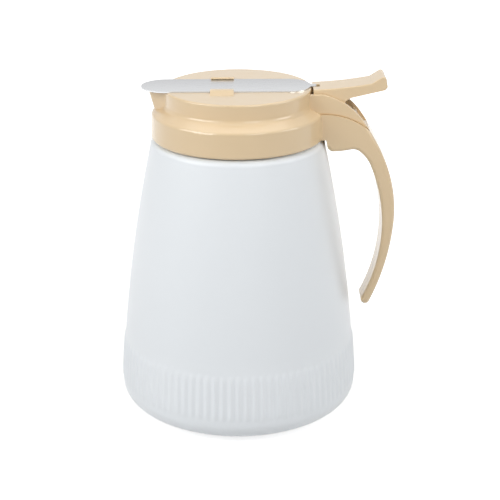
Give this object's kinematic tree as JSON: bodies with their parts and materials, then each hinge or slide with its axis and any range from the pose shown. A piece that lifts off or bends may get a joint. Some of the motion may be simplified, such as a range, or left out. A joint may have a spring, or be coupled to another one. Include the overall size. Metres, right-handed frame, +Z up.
{
  "type": "syrup dispenser",
  "caption": "Ribbed syrup jar with a screw-on cap, curved handle, pouring spout and a steel slide that a sprung thumb lever draws back to open the spout.",
  "frame": {"origin": "centre of the jar's base, in the plane that its foot ring stands on, on the jar's axis", "axes": "+Z up along the jar's axis, +X towards the handle, -X towards the spout, Y across"},
  "size_m": [0.1466, 0.1286, 0.1827],
  "materials": {
    "jar_plastic": "satin white blow-moulded polyethylene",
    "cap_plastic": "glossy beige moulded ABS",
    "seal_rubber": "pale food-grade rubber",
    "steel": "stainless steel, fine brushed"
  },
  "bodies": {
    "jar": {"jar": "jar_plastic"},
    "seal": {"cap_seal": "seal_rubber"},
    "cap": {"cap": "cap_plastic", "lever_pin": "steel", "return_spring": "steel"},
    "lever": {"thumb_lever": "cap_plastic"},
    "blade": {"slide_blade": "steel"}
  },
  "joints": [
    {"name": "cap_lift", "type": "slide", "parent": "jar", "child": "seal", "axis": [0, 0, 1], "range_m": [0, 0.0046]},
    {"name": "cap_turn", "type": "hinge", "parent": "seal", "child": "cap", "pos_m": [0, 0, 0.155], "axis": [0, 0, 1], "range_deg": [0, 360]},
    {"name": "lever_press", "type": "hinge", "parent": "cap", "child": "lever", "pos_m": [0.048, 0, 0.161], "axis": [0, 1, 0], "range_deg": [0, 42], "stiffness_Nm_per_rad": 0.1, "springref_deg": -28.65, "deforming": ["return_spring"]},
    {"name": "blade_slide", "type": "slide", "parent": "cap", "child": "blade", "axis": [1, 0, 0], "range_m": [0, 0.0098]}
  ],
  "couplings": [
    {"joint": "cap_lift", "follows": "cap_turn", "m_per_rad": 0.0007162},
    {"joint": "lever_press", "follows": "blade_slide", "rad_per_m": 74.79}
  ]
}
